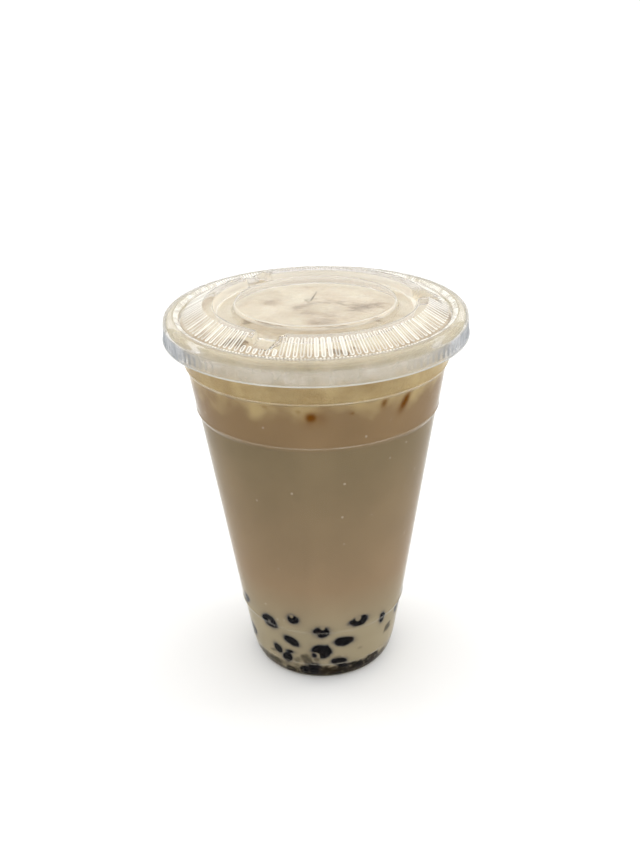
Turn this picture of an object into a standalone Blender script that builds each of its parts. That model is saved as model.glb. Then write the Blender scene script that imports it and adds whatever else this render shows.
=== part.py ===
"""Milk tea with tapioca pearls in a clear takeaway cup with a flat clear lid.

Metres, +Z up. The origin is the middle of the flat ring that the cup stands on.
"""
import math
import random

import bmesh
import bpy
from mathutils import Matrix, Vector

MM = 0.001
GAP = 0.3 * MM

# Cup: a thermoformed wall that steps outwards twice on its way up to a rolled rim
WALL = 0.6 * MM
BASE_RECESS = 1.6 * MM
RECESS_R = 20.5 * MM
FOOT_INNER_R = 21.6 * MM
FOOT_R = 24.7 * MM
# The heel's curve: out from the foot and up, then the share of an inset that lifts it
HEEL_CURVE = ((1.6 * MM, 3.0 * MM, 0.4), (0.7 * MM, 1.0 * MM, 0.8), (0.0, 0.0, 1.0))
HEEL_R, HEEL_Z = 27.2 * MM, 6.9 * MM
LOW_RING_R, LOW_RING_Z = 29.8 * MM, 22.6 * MM
LOW_RING_STEP, LOW_RING_RISE = 0.6 * MM, 1.6 * MM
SHOULDER_R, SHOULDER_Z = 41.5 * MM, 100.4 * MM
SHOULDER_STEP, SHOULDER_RISE = 0.8 * MM, 1.6 * MM
BAND_R, BAND_Z = 44.5 * MM, 117.2 * MM
BAND_STEP, BAND_RISE = 0.8 * MM, 1.2 * MM
NECK_FLARE, NECK_RISE = 0.3 * MM, 5.0 * MM
NECK_R, NECK_Z = 46.3 * MM, 128.6 * MM
RIM_R, RIM_Z, RIM_ROLL = 48.7 * MM, 132.2 * MM, 1.65 * MM
RIM_INNER_DROP = 1.6 * MM
RIM_FROM, RIM_TO = 190.0, -110.0
CUP_STEPS = 48
RIM_ARC = 6

# Lid: a thin sheet with a raised disc, a groove, a ribbed slope, a bead over the rim and a skirt
LID_TOP = 137.9 * MM
LID_WALL = 0.45 * MM
DISC_R = 27.4 * MM
EDGE_IN, EDGE_DROP = 0.8 * MM, 0.7 * MM
GROOVE_IN_R, GROOVE_OUT_R, GROOVE_Z = 28.5 * MM, 33.3 * MM, 134.3 * MM
RIDGE_IN_R, RIDGE_OUT_R = 34.6 * MM, 37.9 * MM
RIDGE_TILT = 0.3 * MM
SLOPE_BULGE = 0.7 * MM
SLOPE_END_RISE = 1.3 * MM
SLOPE_R, SLOPE_Z = 44.9 * MM, 134.0 * MM
VALLEY_R, VALLEY_Z = 46.0 * MM, 133.7 * MM
BEAD_START, BEAD_START_RISE = 1.1 * MM, 0.7 * MM
BEAD_R, BEAD_Z = 48.7 * MM, 134.9 * MM
BEAD_EASE = 0.8 * MM
SIDE_R, SIDE_Z = 51.5 * MM, 132.2 * MM
SKIRT_LEAN, SKIRT_EDGE = 0.1 * MM, 2.0 * MM
SKIRT_R, SKIRT_Z = 51.9 * MM, 127.0 * MM
NOTCHES = 3
NOTCH_ANGLE = math.radians(6.0)
NOTCH_HALF = math.radians(4.0)
NOTCH_R = 42.6 * MM
NOTCH_FLOOR = 134.8 * MM
NOTCH_MARGIN = 0.1 * MM
LID_STEPS = 72
LID_TURN = math.radians(3.5)

# Contents: pearls on the floor, tea up to the band, froth from there up to the lid
FLOOR_Z = BASE_RECESS + WALL + GAP
PEARL_R = 4.2 * MM
PEARL_SPREAD = 0.07
PEARL_SEED = 11
PEARL_CLEARANCE = 0.6 * MM
HEAP_TOP = 33.0 * MM
CORE_TOP_DROP, CORE_BASE_RISE = 0.4 * MM, 1.6 * MM
CORE_INSET = 5.2 * MM
CORE_SHOULDER, CORE_SHOULDER_DROP = 3.0 * MM, 3.0 * MM
CORE_FOOT, CORE_FOOT_RISE = 2.0 * MM, 1.0 * MM
CORE_STEPS = 24
ROW_HEIGHTS = (5.2 * MM, 12.6 * MM, 19.8 * MM, 26.6 * MM)
ROW_PEARLS = 8
ROW_FROM, ROW_TO = math.radians(-28.0), math.radians(212.0)
ROW_START, ROW_SHIFT, ROW_JITTER, ROW_LIFT = 0.25, 0.5, 0.12, 1.2 * MM
# Pearls that show through the front wall: direction in degrees, height in millimetres
FRONT_PEARLS = (
    (229, 24.4), (250, 27.6), (268, 22.6), (296, 26.6), (317, 22.2), (247, 17.0), (285, 16.6),
    (267, 13.2), (236, 10.6), (281, 7.6), (260, 5.2), (241, 5.2), (304, 5.6), (326, 13.4), (304, 15.0),
)
TEA_BEND, TEA_BEND_IN = 1.2 * MM, 0.2 * MM
FROTH_Z = 118.0 * MM
FROTH_TOP = 133.1 * MM
FROTH_DOME, FROTH_DROP = 0.7 * MM, 1.1 * MM
FROTH_BAND = 2.0 * MM
FROTH_EDGE, FROTH_EDGE_IN = 130.4 * MM, 0.2 * MM
FROTH_SIDE_DROP = 2.0 * MM
FROTH_LIFT = 0.1 * MM
FROTH_SWELL = 0.35 * MM
# Waves of the froth's surface: radians a metre along and across it, then their phase
LONG_WAVE, LONG_WAVE_ACROSS = (210.0, 1.3), (185.0, -0.6)
SHORT_WAVE, SHORT_WAVE_ACROSS = (390.0, 0.0), (340.0, 0.8)
SHORT_SLANT, SHORT_SLANT_ACROSS = 0.6, 0.4
LONG_SHARE = 0.6
FROTH_RINGS = (44.0, 38.5, 33.0, 27.0, 20.0, 13.0, 6.5)


def clear_scene():
    for thing in list(bpy.data.objects):
        bpy.data.objects.remove(thing, do_unlink=True)


def new_collection(name):
    group = bpy.data.collections.new(name)
    bpy.context.scene.collection.children.link(group)
    return group


def material(name, colour, roughness, alpha=1.0, transmission=0.0):
    made = bpy.data.materials.new(name)
    made.use_nodes = True
    shader = made.node_tree.nodes["Principled BSDF"]
    shader.inputs["Base Color"].default_value = (*colour, 1.0)
    shader.inputs["Roughness"].default_value = roughness
    shader.inputs["Metallic"].default_value = 0.0
    shader.inputs["Alpha"].default_value = alpha
    shader.inputs["Transmission Weight"].default_value = transmission
    made.diffuse_color = (*colour, alpha)
    return made


def clear_plastic():
    return material("clear_pet", (0.90, 0.91, 0.90), 0.12, alpha=0.35, transmission=0.9)


def milk_tea():
    return material("milk_tea", (0.30, 0.21, 0.12), 0.25)


def milk_froth():
    return material("milk_froth", (0.74, 0.66, 0.50), 0.6)


def tapioca():
    return material("tapioca", (0.010, 0.008, 0.010), 0.15)


def outline_object(name, outline, group):
    """An object whose mesh is the open line through the outline's (radius, height) points."""
    mesh = bpy.data.meshes.new(name)
    points = [(radius, 0.0, height) for radius, height in outline]
    links = [(i, i + 1) for i in range(len(points) - 1)]
    mesh.from_pydata(points, links, [])
    made = bpy.data.objects.new(name, mesh)
    group.objects.link(made)
    return made


def turn(thing, steps):
    """Turns the object's outline once round Z."""
    screw = thing.modifiers.new("turn", "SCREW")
    screw.axis = "Z"
    screw.steps = steps
    screw.render_steps = steps
    screw.use_merge_vertices = True
    screw.merge_threshold = 0.00001
    screw.use_smooth_shade = True
    return thing


def bake(thing):
    """Replaces the object's mesh by the one that its modifiers give, and removes the modifiers."""
    bpy.context.view_layer.update()
    evaluated = thing.evaluated_get(bpy.context.evaluated_depsgraph_get())
    mesh = bpy.data.meshes.new_from_object(evaluated)
    thing.modifiers.clear()
    thing.data = mesh
    return mesh


def turned(name, outline, steps, group, finish):
    made = turn(outline_object(name, outline, group), steps)
    made.data.materials.append(finish)
    return made


def arc(centre, radius, start, end, pieces):
    """Points on an arc in the outline's plane, from the start to the end angle in degrees."""
    angles = [math.radians(start + (end - start) * i / pieces) for i in range(pieces + 1)]
    return [(centre[0] + radius * math.cos(a), centre[1] + radius * math.sin(a)) for a in angles]


def wall_outline():
    """The cup's outer wall from the neck down to the heel, as (radius, height)."""
    return [
        (NECK_R, NECK_Z),
        (BAND_R + BAND_STEP + NECK_FLARE, BAND_Z + NECK_RISE),
        (BAND_R + BAND_STEP, BAND_Z + BAND_RISE),
        (BAND_R, BAND_Z),
        (SHOULDER_R + SHOULDER_STEP, SHOULDER_Z + SHOULDER_RISE),
        (SHOULDER_R, SHOULDER_Z),
        (LOW_RING_R + LOW_RING_STEP, LOW_RING_Z + LOW_RING_RISE),
        (LOW_RING_R, LOW_RING_Z),
        (HEEL_R, HEEL_Z),
    ]


def heel_points(inset):
    """The rounded heel between the wall and the flat foot, moved inwards by the inset."""
    return [(FOOT_R + out - inset, up + inset * share) for out, up, share in HEEL_CURVE]


def inner_radius(height):
    """Radius of the cup's inner wall at a height."""
    points = [(r - WALL, z) for r, z in wall_outline() + heel_points(0.0)]
    points = sorted(points, key=lambda point: point[1])
    if height <= points[0][1]:
        return points[0][0]
    for (r0, z0), (r1, z1) in zip(points[:-1], points[1:]):
        if z0 <= height <= z1:
            return r0 + (r1 - r0) * (height - z0) / (z1 - z0)
    return points[-1][0]


def cup_outline():
    """Up the inside from the middle of the floor, over the rolled rim and down the outside."""
    inside = [(0.0, BASE_RECESS + WALL), (RECESS_R - WALL, BASE_RECESS + WALL), (FOOT_INNER_R - WALL, WALL)]
    inside += list(reversed(heel_points(WALL)))
    inside += [(r - WALL, z) for r, z in reversed(wall_outline())]
    inside.append((NECK_R + NECK_FLARE, RIM_Z - RIM_INNER_DROP))
    rim = arc((RIM_R, RIM_Z), RIM_ROLL, RIM_FROM, RIM_TO, RIM_ARC)
    outside = wall_outline() + heel_points(0.0)
    under = [(FOOT_INNER_R, 0.0), (RECESS_R, BASE_RECESS), (0.0, BASE_RECESS)]
    return inside + rim + outside + under


def make_cup(group, finish):
    return turned("cup", cup_outline(), CUP_STEPS, group, finish)


def lid_outline():
    """The lid's upper face from its middle out and down to the skirt's edge."""
    slope_middle = 0.5 * (RIDGE_OUT_R + NOTCH_R), 0.5 * (LID_TOP + SLOPE_Z) + SLOPE_BULGE
    return [
        (0.0, LID_TOP),
        (DISC_R - EDGE_IN, LID_TOP),
        (DISC_R, LID_TOP - EDGE_DROP),
        (GROOVE_IN_R, GROOVE_Z),
        (GROOVE_OUT_R, GROOVE_Z),
        (RIDGE_IN_R, LID_TOP - RIDGE_TILT),
        (RIDGE_OUT_R, LID_TOP),
        slope_middle,
        (NOTCH_R, SLOPE_Z + SLOPE_END_RISE),
        (SLOPE_R, SLOPE_Z),
        (VALLEY_R, VALLEY_Z),
        (VALLEY_R + BEAD_START, VALLEY_Z + BEAD_START_RISE),
        (BEAD_R, BEAD_Z),
        (SIDE_R - BEAD_EASE, BEAD_Z - BEAD_EASE),
        (SIDE_R, SIDE_Z),
        (SIDE_R + SKIRT_LEAN, SKIRT_Z + SKIRT_EDGE),
        (SKIRT_R, SKIRT_Z),
    ]


def in_notch(angle):
    pitch = 2.0 * math.pi / NOTCHES
    away = (angle - NOTCH_ANGLE + 0.5 * pitch) % pitch - 0.5 * pitch
    return abs(away) < NOTCH_HALF


def press_notches(mesh):
    """Lowers the ridge and the top of the slope to the groove's level in three short stretches."""
    inner, outer = RIDGE_IN_R - NOTCH_MARGIN, NOTCH_R - NOTCH_MARGIN
    for vertex in mesh.vertices:
        radius = math.hypot(vertex.co.x, vertex.co.y)
        if inner < radius < outer and in_notch(math.atan2(vertex.co.y, vertex.co.x)):
            vertex.co.z = min(vertex.co.z, NOTCH_FLOOR)


def make_lid(group, finish):
    made = turned("lid", lid_outline(), LID_STEPS, group, finish)
    mesh = bake(made)
    mesh.transform(Matrix.Rotation(LID_TURN, 4, "Z"))
    press_notches(mesh)
    shell = made.modifiers.new("thickness", "SOLIDIFY")
    shell.thickness = LID_WALL
    shell.offset = -1.0
    return made


def make_tea(group, finish):
    """The drink, from just above the pearls up to the froth."""
    inset = WALL + GAP
    top = FROTH_Z - GAP
    bottom = HEAP_TOP + GAP
    outline = [
        (0.0, top),
        (BAND_R - inset, top),
        (BAND_R - inset - TEA_BEND_IN, BAND_Z - TEA_BEND),
        (SHOULDER_R + SHOULDER_STEP - inset, SHOULDER_Z + SHOULDER_RISE),
        (SHOULDER_R - inset, SHOULDER_Z),
        (inner_radius(bottom) - GAP, bottom),
        (0.0, bottom),
    ]
    return turned("tea", outline, CUP_STEPS, group, finish)


def wave(shape, place):
    return math.sin(shape[0] * place + shape[1])


def swell(x, y):
    """Height of the froth's gentle lumps at a place, between about -1 and 1."""
    along, across = x + SHORT_SLANT * y, y - SHORT_SLANT_ACROSS * x
    long_wave = wave(LONG_WAVE, x) * math.cos(LONG_WAVE_ACROSS[0] * y + LONG_WAVE_ACROSS[1])
    short_wave = wave(SHORT_WAVE, along) * wave(SHORT_WAVE_ACROSS, across)
    return LONG_SHARE * long_wave + (1.0 - LONG_SHARE) * short_wave


def froth_outline():
    """The froth's flat top in rings, its side along the wall and its flat underside."""
    bottom = FROTH_Z + FROTH_LIFT
    side = NECK_Z - FROTH_SIDE_DROP
    neck = BAND_Z + NECK_RISE
    band = BAND_R + BAND_STEP - WALL - GAP
    top = [(0.0, FROTH_TOP)] + [(r * MM, FROTH_TOP) for r in reversed(FROTH_RINGS)]
    edge = [
        (inner_radius(FROTH_EDGE) - GAP - FROTH_EDGE_IN, FROTH_EDGE),
        (inner_radius(side) - GAP, side),
        (inner_radius(neck) - GAP, neck),
        (band, BAND_Z + BAND_RISE),
        (band - FROTH_LIFT, bottom),
        (0.0, bottom),
    ]
    return top + edge


def froth_height(x, y):
    """Level of the froth under the lid: a broad dome with lumps, low below the slope's foot."""
    radius = math.hypot(x, y)
    lumps = FROTH_SWELL * swell(x, y)
    if radius < GROOVE_IN_R - FROTH_BAND:
        return FROTH_TOP + FROTH_DOME + lumps
    if radius < RIDGE_OUT_R + FROTH_BAND:
        return FROTH_TOP + 0.3 * lumps
    return FROTH_TOP - FROTH_DROP + lumps


def make_froth(group, finish):
    made = turned("froth", froth_outline(), CUP_STEPS, group, finish)
    mesh = bake(made)
    for vertex in mesh.vertices:
        if vertex.co.z > FROTH_TOP - 0.01 * MM:
            vertex.co.z = froth_height(vertex.co.x, vertex.co.y)
    return made


def heap_outline():
    """The heap's plain core, inside the ring of pearls that lie against the wall."""
    low = FLOOR_Z + CORE_BASE_RISE
    top = HEAP_TOP - CORE_TOP_DROP
    high_r = inner_radius(top) - CORE_INSET - 1.0 * MM
    low_r = inner_radius(HEEL_Z) - CORE_INSET
    return [
        (0.0, top),
        (high_r - CORE_SHOULDER, top),
        (high_r, top - CORE_SHOULDER_DROP),
        (low_r, HEEL_Z + CORE_FOOT_RISE),
        (low_r - CORE_FOOT, low),
        (0.0, low),
    ]


def wall_place(angle, height, radius):
    """Centre of a pearl of the given radius that rests just inside the wall and over the heel's curve."""
    height = max(height, FLOOR_Z + radius)
    slanted = math.sqrt(0.5) * radius
    reach = min(inner_radius(height), inner_radius(height - slanted) + radius - slanted)
    reach -= radius + PEARL_CLEARANCE
    return Vector((reach * math.cos(angle), reach * math.sin(angle), height))


def pearl_places(draw):
    """Centres and radii: those seen at the front, then rows round the back by the same spacing."""
    places = []
    for degrees, height in FRONT_PEARLS:
        radius = PEARL_R * (1.0 + PEARL_SPREAD * draw.uniform(-1.0, 1.0))
        places.append((wall_place(math.radians(degrees), height * MM, radius), radius))
    pitch = (ROW_TO - ROW_FROM) / ROW_PEARLS
    for row, height in enumerate(ROW_HEIGHTS):
        for i in range(ROW_PEARLS):
            radius = PEARL_R * (1.0 + PEARL_SPREAD * draw.uniform(-1.0, 1.0))
            step = i + ROW_START + ROW_SHIFT * (row % 2) + ROW_JITTER * draw.uniform(-1.0, 1.0)
            angle = ROW_FROM + pitch * step
            lift = ROW_LIFT * draw.uniform(-1.0, 1.0) if row else 0.0
            places.append((wall_place(angle, height + lift, radius), radius))
    return places


def make_pearl(number, centre, radius, group):
    shape = bmesh.new()
    bmesh.ops.create_icosphere(shape, subdivisions=2, radius=radius)
    mesh = bpy.data.meshes.new(f"pearl_{number}")
    shape.to_mesh(mesh)
    shape.free()
    made = bpy.data.objects.new(f"pearl_{number}", mesh)
    made.location = centre
    group.objects.link(made)
    return made


def make_pearls(group, pieces, finish):
    """One heap: the core with the pearls fused on by a single union."""
    made = turned("pearls", heap_outline(), CORE_STEPS, group, finish)
    bake(made)
    draw = random.Random(PEARL_SEED)
    loose = [make_pearl(i, *place, pieces) for i, place in enumerate(pearl_places(draw))]
    union = made.modifiers.new("union", "BOOLEAN")
    union.operation = "UNION"
    union.operand_type = "COLLECTION"
    union.collection = pieces
    union.solver = "EXACT"
    bake(made)
    made.data.materials.clear()
    made.data.materials.append(finish)
    for piece in loose:
        bpy.data.objects.remove(piece, do_unlink=True)
    bpy.data.collections.remove(pieces)
    return made


def main():
    clear_scene()
    group = new_collection("bubble_tea")
    plastic = clear_plastic()
    make_cup(group, plastic)
    make_lid(group, plastic)
    make_tea(group, milk_tea())
    make_froth(group, milk_froth())
    make_pearls(group, new_collection("loose_pearls"), tapioca())


main()
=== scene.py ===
"""Bubble tea: milk tea with froth and tapioca pearls in a clear lidded takeaway cup."""
import math
from functools import partial

import bpy
import numpy as np
from bpy.props import FloatProperty, FloatVectorProperty, IntProperty, PointerProperty
from mathutils import Matrix, Vector


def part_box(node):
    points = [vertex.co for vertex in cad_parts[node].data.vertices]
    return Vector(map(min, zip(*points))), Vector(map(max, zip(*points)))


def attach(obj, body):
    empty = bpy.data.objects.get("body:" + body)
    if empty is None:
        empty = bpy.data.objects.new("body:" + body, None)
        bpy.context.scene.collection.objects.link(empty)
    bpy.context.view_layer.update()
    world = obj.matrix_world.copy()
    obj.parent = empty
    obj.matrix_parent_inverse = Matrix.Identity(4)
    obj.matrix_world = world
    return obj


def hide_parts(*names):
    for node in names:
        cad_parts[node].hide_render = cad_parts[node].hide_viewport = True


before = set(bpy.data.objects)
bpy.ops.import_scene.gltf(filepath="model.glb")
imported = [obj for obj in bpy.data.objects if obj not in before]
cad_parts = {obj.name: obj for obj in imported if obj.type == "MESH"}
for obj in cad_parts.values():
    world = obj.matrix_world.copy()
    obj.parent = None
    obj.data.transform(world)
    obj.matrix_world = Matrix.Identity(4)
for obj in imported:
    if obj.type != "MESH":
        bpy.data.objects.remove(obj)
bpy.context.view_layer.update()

bl_info = {
    "name": "Bubble Tea",
    "version": (1, 0, 0),
    "blender": (4, 5, 0),
    "location": "View3D > Sidebar > Bubble Tea",
    "description": "Models a milk tea with froth and tapioca pearls in a clear cup with a flat lid",
    "category": "Add Mesh",
}

MM = 0.001
BODY = "root"
TAU = 2.0 * math.pi

# Cup, as radius and height of the outer wall
WALL = 0.6 * MM
FOOT_R = 24.7 * MM
HEEL_R, HEEL_Z = 27.2 * MM, 6.9 * MM
LOW_RING_R, LOW_RING_Z = 29.8 * MM, 22.6 * MM
LOW_RING_STEP, LOW_RING_RISE = 0.6 * MM, 1.6 * MM
SHOULDER_R, SHOULDER_Z = 41.5 * MM, 100.4 * MM
SHOULDER_STEP, SHOULDER_RISE = 0.8 * MM, 1.6 * MM
BAND_R, BAND_Z = 44.5 * MM, 117.2 * MM
BAND_STEP, BAND_RISE = 0.8 * MM, 1.2 * MM
STEP_EASE, LIP_EASE = 0.5 * MM, 0.22 * MM
LIP_OUT, LIP_BACK, LIP_TALL = 0.14 * MM, 0.02 * MM, 0.45 * MM
NECK_R, NECK_Z = 46.3 * MM, 128.6 * MM
RIM_R, RIM_Z, RIM_ROLL = 48.7 * MM, 132.2 * MM, 1.65 * MM
RECESS_R, RECESS_Z = 20.5 * MM, 1.6 * MM
FOOT_INNER_R = 21.6 * MM
CUP_STEPS = 192
SHEET_IOR = 1.12

# Bends of the wall that catch the light, painted as pale highlight lines: height, and how strong each line
# is
WALL_LINES = (
    (HEEL_Z + 0.4 * MM, 0.3),
    (LOW_RING_Z + 0.3 * MM, 0.16),
    (SHOULDER_Z + 1.7 * MM, 0.22),
    (BAND_Z + 1.3 * MM, 0.3),
)

# Lid, as radius and height of its upper face
LID_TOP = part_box("lid")[1].z
LID_WALL = 0.45 * MM
DISC_R = 27.4 * MM
GROOVE_IN_R, GROOVE_OUT_R, GROOVE_Z = 28.5 * MM, 33.3 * MM, 134.3 * MM
RIDGE_IN_R, RIDGE_OUT_R = 34.6 * MM, 37.9 * MM
SLOPE_R, SLOPE_Z = 44.9 * MM, 134.0 * MM
VALLEY_R, VALLEY_Z = 46.0 * MM, 133.7 * MM
BEAD_R, BEAD_Z = 48.7 * MM, 134.9 * MM
SIDE_R, SIDE_Z = 51.5 * MM, 132.2 * MM
SKIRT_R, SKIRT_Z = 51.9 * MM, 127.0 * MM
NOTCHES = 3
NOTCH_ANGLE = math.radians(6.0)
NOTCH_R, NOTCH_FLOOR = 42.6 * MM, 134.8 * MM
NOTCH_HALF, NOTCH_TAPER = 3.9 * MM, 0.28
NOTCH_CLEAR = 4.8 * MM
TEETH = 0.16 * MM
CRIMP_DEEP = 0.18 * MM

# A rib's half width in mm, and what stands for its end where there is no rib
RIB_HALF, NO_RIB = 0.5, -9.0

# The straw's cuts on the disc: both ends (x, y, x, y) and width in mm
SLITS = (
    (0.7, 7.8, -1.9, -4.0, 0.42),
    (-3.9, -0.8, -1.9, -4.0, 0.36),
    (-3.7, -1.0, 1.2, -0.5, 0.22),
)

# Contents
FLOOR_Z = RECESS_Z + WALL
TEA_REACH = 0.30 * MM
FLOOR_REACH = 0.25 * MM
PEARL_REACH = 0.24 * MM
PEARL_R, PEARL_FLAT = 4.2 * MM, 0.55
FROTH_Z = 118.0 * MM
SOAKED_Z, CREAMY_Z = 124.0 * MM, 128.0 * MM
DRINK_STEPS, FROTH_STEPS = 600, 360
FROTH_EDGE_R, FROTH_EDGE_Z = 45.4 * MM, 131.0 * MM

# Radii in mm at which the wall is laid flat for noise, near its foot and near its shoulder
LOW_WALL, HIGH_WALL = 29.0, 40.0

# Rings of the drink in mm: from, to and step. They are fine over the pearls and near the shoulder
TEA_ROWS = ((1.2, 34.0, 0.36), (34.0, 99.0, 3.6), (99.0, 117.6, 0.8))

# The froth's top under the lid: radii and heights in mm
FROTH_RADII = (0.0, 25.0, 28.0, 34.0, 37.0, 43.0, 45.5)
FROTH_HEIGHTS = (133.9, 133.9, 133.2, 133.2, 133.4, 132.2, 131.0)

# Pearls that touch the wall in front: direction (degrees) and height of the patch, its width and
# tallness (mm), its tilt (degrees), then the milk caught between: right, up, radius (mm) and thinness
TOUCHING = (
    (229.5, 23.9, 6, 5.4, -10, ((0, 0.1, 0.9, 0.62),)),
    (249.2, 28.5, 3.6, 3.4, 0, ((-0.3, 1.2, 0.9, 0.2),)),
    (268.3, 23.3, 5.4, 4.6, 8, ((0.5, 2, 1, 0.25), (-1.9, -1.5, 0.9, 0.5))),
    (294.8, 26.4, 6.5, 3.8, 4, ((-0.4, 1.2, 1.35, 0.25),)),
    (315.6, 23, 2.2, 4.2, 12, ((0, -0.3, 0.5, 0.6),)),
    (245.8, 17.4, 5.4, 3.3, -30, ()),
    (284.4, 17.9, 6.6, 3.8, -3, ()),
    (268.2, 13.7, 6.6, 6.2, 12, ((-2.6, -2.3, 2.1, 0.2),)),
    (262.4, 11.8, 1.1, 1.5, 10, ()),
    (232.8, 11.5, 3, 3.8, 22, ()),
    (240.6, 8.7, 3.2, 4.2, -24, ()),
    (243, 11.8, 2.4, 1.1, 8, ()),
    (281.2, 8.2, 5, 3.2, -6, ()),
    (284.6, 5.9, 3.6, 1.8, -22, ()),
    (262.2, 6.2, 3.4, 2.8, 0, ()),
    (261.4, 3.6, 3, 3.6, 0, ()),
    (254.7, 4.2, 1.7, 3.2, -14, ()),
)

# Drops of syrup against the wall: the same five numbers, then how dark they are
SYRUP = (
    (267, 113.6, 3.6, 3.4, 0, 1.3),
    (268, 113.2, 6.4, 5, 0, 0.55),
    (309, 114.4, 2.6, 6, -28, 1.4),
    (298, 116, 2.2, 3.2, -20, 0.9),
    (284, 114.4, 1.4, 0.9, 10, 0.7),
    (262, 115.6, 1.6, 1.2, 0, 0.5),
    (248, 116.4, 1.8, 1.2, 0, 0.4),
)

# Froth that looks wetter (above 0) or drier: direction (degrees), radius, width round, depth in (mm)
FROTH_MARKS = (
    (229, 37, 7, 3.4, 0.75),
    (225, 39.4, 3, 2.4, 0.6),
    (278, 38.4, 3.4, 3, 0.8),
    (282.5, 39.5, 1.6, 2.6, 0.6),
    (288, 37.5, 3, 1.8, 0.4),
    # These four rows near 20 mm in front paint a brown shade just under the disc's front edge
    (221, 21, 8, 1.8, 0.8),
    (232, 20.6, 6, 1.6, 0.7),
    (297, 19.6, 3.4, 1.6, 0.9),
    (286, 19.4, 5, 1.4, 0.4),
    (330, 23, 5, 3.2, 0.5),
    (205, 25, 5, 2.4, 0.4),
    (163, 6.6, 4.6, 4, 0.2),
    (120, 5.6, 4, 3.4, 0.14),
    (75, 6.6, 6, 4, 0.16),
    (48, 10.4, 7, 3.4, 0.16),
    (10, 17, 16, 12, 0.16),
    (69, 38.4, 1.8, 1.4, 1),
    (64, 38.8, 1.2, 1, 0.7),
    (190, 31.5, 10, 4, -0.6),
    (172, 31.5, 10, 4, -0.6),
    (8, 32.5, 9, 4, -0.4),
    (246, 33, 8, 5, -0.3),
    (120, 12, 10, 6, -0.2),
    (0, 0, 52, 52, 0.07),
    (270, 17, 40, 16, 0.09),
    (150, 16, 9, 7, 0.2),
    (250, 4, 8, 6, 0.16),
    (320, 8, 9, 5, 0.12),
)

# Pearls just behind the milk: the same five numbers, then how strongly they show
SUNK = (
    (326, 15.2, 4.8, 3.8, 25, 0.8),
    (227.5, 9.6, 4.2, 1.4, 20, 0.5),
    (257, 8.6, 4.4, 7, 24, 0.75),
    (250, 8.6, 3.4, 3.4, 0, 0.5),
    (264, 9.6, 2.6, 2.6, 0, 0.6),
    (226, 4, 8, 4.6, 8, 0.85),
    (213, 3.6, 6, 4.6, 0, 0.75),
    (312, 3.4, 8.6, 6.2, -14, 2.2),
    (297, 3.2, 8, 6.6, 8, 1.3),
    (286, 3, 8.4, 7.6, 0, 1.9),
    (272, 2.8, 8.4, 6.4, -6, 2.2),
    (262, 3.4, 6, 7.6, 0, 2.2),
    (254, 3.4, 4.4, 5.6, 10, 1.5),
    (243, 1.8, 6.4, 4.4, 0, 1.2),
    (325, 3.2, 6, 4.4, 0, 0.8),
    (281, 10.4, 4, 1.4, 0, 0.4),
    (298, 12.6, 2.4, 1.4, 0, 0.25),
)


def linear(colour):
    """An sRGB hex colour such as "#8C7C62" as linear red, green, blue and 1 for alpha."""
    parts = np.array([int(colour[i : i + 2], 16) / 255 for i in (1, 3, 5)])
    low, high = parts / 12.92, ((parts + 0.055) / 1.055) ** 2.4
    return (*np.where(parts <= 0.04045, low, high).tolist(), 1.0)


def colour_property(name, description, value):
    return FloatVectorProperty(
        name=name, description=description, subtype="COLOR", size=4, min=0.0, max=1.0, default=linear(value)
    )


class CupSettings(bpy.types.PropertyGroup):
    """Sizes and colour of the cup and its lid."""

    rib_count: IntProperty(name="Lid ribs", description="Radial ribs round the lid", default=128, min=12)
    rib_height: FloatProperty(
        name="Rib height", description="How far the lid's ribs stand up", default=0.22 * MM, unit="LENGTH"
    )
    crimp_count: IntProperty(name="Crimps", description="Small ribs round the skirt", default=120, min=12)
    plastic: colour_property("Clear plastic", "Tint of the thermoformed PET", "#F7F6F7")
    rim_tint: colour_property("Rim", "The rolled rim, seen edge on", "#DDD3A9")
    wall_line_highlight: colour_property("Bends", "Bends of the wall, where the sheet whitens", "#DDD3BF")
    bead_tint: colour_property("Bead", "The lid's bead over the rim", "#A49C84")
    # Painted highlight along the wall's bends
    skirt_tint: colour_property("Skirt", "The crimped skirt from in front", "#CBC5B6")
    # Grey that paints the shade seen along the skirt's sheet
    skirt_edge_shade: colour_property("Skirt edge on", "The crimped skirt, seen along its sheet", "#757B81")
    haze: colour_property("Haze", "Fine scuffs and damp on the disc", "#DAD4C2")


class DrinkSettings(bpy.types.PropertyGroup):
    """Colours of the drink, its froth and the tapioca."""

    tea_band: colour_property("Tea under the froth", "Redder tea just under the froth", "#8F7757")
    tea_body: colour_property("Tea", "Milk tea under the shoulder", "#87775B")
    tea_middle: colour_property("Tea, lower", "Milk tea in the lower body", "#998366")
    tea_low: colour_property("Tea near the floor", "Milkier tea between the pearls", "#A3977B")
    veil: colour_property("Thin milk", "Milk over a dark pearl", "#3A3C44")
    # Also the colour of the painted shade near the floor
    sunk: colour_property("Sunk pearls", "Pearls that show dimly through the tea", "#15110E")
    froth_light: colour_property("Froth", "Fresh milk froth", "#BFB69D")
    froth_dark: colour_property("Wet froth", "Froth soaked with tea, from above", "#6F5B3C")
    froth_wall: colour_property("Froth at the wall", "Froth soaked with tea, through the wall", "#BFAA7B")
    syrup: colour_property("Syrup", "Drops of brown sugar syrup", "#6E430F")
    pearl: colour_property("Tapioca", "Cooked tapioca in brown sugar", "#0B090B")


class StageSettings(bpy.types.PropertyGroup):
    """The floor and the light."""

    floor: colour_property("Floor", "Plain pale floor", "#F7F7F6")
    lamps: FloatProperty(name="Lamps", description="Brightness of the ceiling lamps", default=1.0)
    room: FloatProperty(name="Room light", description="Strength of the even room light", default=1.0)


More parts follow.
